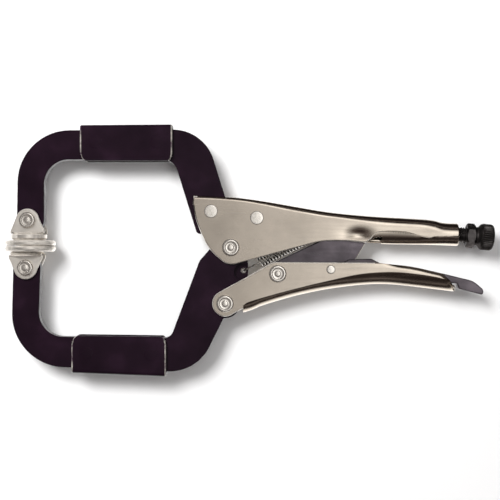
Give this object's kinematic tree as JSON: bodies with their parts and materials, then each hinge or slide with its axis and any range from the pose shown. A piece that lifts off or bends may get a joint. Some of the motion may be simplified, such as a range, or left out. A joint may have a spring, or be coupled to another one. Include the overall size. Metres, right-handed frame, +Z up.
{
  "type": "locking c-clamp pliers",
  "caption": "Locking clamp pliers with deep square throat jaws, swivel pads, over-centre toggle handles, release lever and knurled adjusting screw.",
  "frame": {"origin": "centre of the tool's underside as it lies flat, clamp shut and locked", "axes": "+X from the pads towards the adjusting knob, +Y from the lower handle towards the upper one, +Z up, along the rivets"},
  "size_m": [0.2992, 0.1534, 0.0306],
  "materials": {
    "black_coat": "near-black satin coat on forged and folded steel",
    "satin_nickel": "warm satin nickel plate on folded sheet steel",
    "bright_nickel": "bright nickel plate on turned steel",
    "black_oxide": "black oxide on threaded and knurled steel",
    "dark_steel": "dark blued steel"
  },
  "bodies": {
    "frame": {"upper_handle": "satin_nickel", "upper_jaw": "black_coat", "cheek_rivet_front": "bright_nickel", "cheek_rivet_rear": "bright_nickel", "upper_jaw_sleeve": "black_coat", "upper_sleeve_rivet_left": "black_coat", "upper_sleeve_rivet_right": "black_coat", "jaw_pivot_rivet": "bright_nickel", "tension_spring": "dark_steel", "upper_pad_rivet": "bright_nickel"},
    "moving_jaw": {"lower_jaw": "black_coat", "lower_jaw_sleeve": "black_coat", "lower_sleeve_rivet_left": "black_coat", "lower_sleeve_rivet_right": "black_coat", "handle_pivot_rivet": "bright_nickel", "lower_pad_rivet": "bright_nickel"},
    "moving_handle": {"lower_handle": "satin_nickel", "link_pivot_rivet": "bright_nickel", "release_lever_pin": "bright_nickel"},
    "link": {"toggle_link": "dark_steel"},
    "lever": {"release_lever": "dark_steel"},
    "upper_pad": {"upper_swivel_pad": "bright_nickel"},
    "lower_pad": {"lower_swivel_pad": "bright_nickel"},
    "nut": {"lock_nut": "black_oxide"},
    "screw": {"adjusting_screw": "black_oxide"}
  },
  "joints": [
    {"name": "jaw_open", "type": "hinge", "parent": "frame", "child": "moving_jaw", "pos_m": [-0.01146, 0.00178, 0.0153], "axis": [0, 0, 1], "range_deg": [0, 28], "deforming": ["tension_spring"]},
    {"name": "handle_swing", "type": "hinge", "parent": "moving_jaw", "child": "moving_handle", "pos_m": [-0.01496, -0.03232, 0.0153], "axis": [0, 0, 1], "range_deg": [-71.7, 0]},
    {"name": "link_swing", "type": "hinge", "parent": "moving_handle", "child": "link", "pos_m": [0.01704, -0.01414, 0.0153], "axis": [0, 0, 1], "range_deg": [0, 76.2]},
    {"name": "lever_release", "type": "hinge", "parent": "moving_handle", "child": "lever", "pos_m": [0.04924, -0.01162, 0.0153], "axis": [0, 0, 1], "range_deg": [0, 5]},
    {"name": "upper_pad_swivel", "type": "hinge", "parent": "frame", "child": "upper_pad", "pos_m": [-0.13516, 0.01838, 0.0153], "axis": [0, 0, 1], "range_deg": [0, 14]},
    {"name": "lower_pad_swivel", "type": "hinge", "parent": "moving_jaw", "child": "lower_pad", "pos_m": [-0.13636, -0.01052, 0.0153], "axis": [0, 0, 1], "range_deg": [-14, 0]},
    {"name": "screw_travel", "type": "slide", "parent": "frame", "child": "nut", "axis": [0.9962, -0.0872, 0], "range_m": [0, 0.015]},
    {"name": "screw_turn", "type": "hinge", "parent": "nut", "child": "screw", "pos_m": [0.12724, 0.00968, 0.0153], "axis": [0.9962, -0.0872, 0], "range_deg": [0, 3601]}
  ],
  "couplings": [
    {"joint": "handle_swing", "follows": "jaw_open", "ratio": -2.56},
    {"joint": "link_swing", "follows": "jaw_open", "ratio": 2.72},
    {"joint": "upper_pad_swivel", "follows": "jaw_open", "ratio": 0.5},
    {"joint": "lower_pad_swivel", "follows": "jaw_open", "ratio": -0.5},
    {"joint": "screw_turn", "follows": "screw_travel", "rad_per_m": 4188.8}
  ]
}
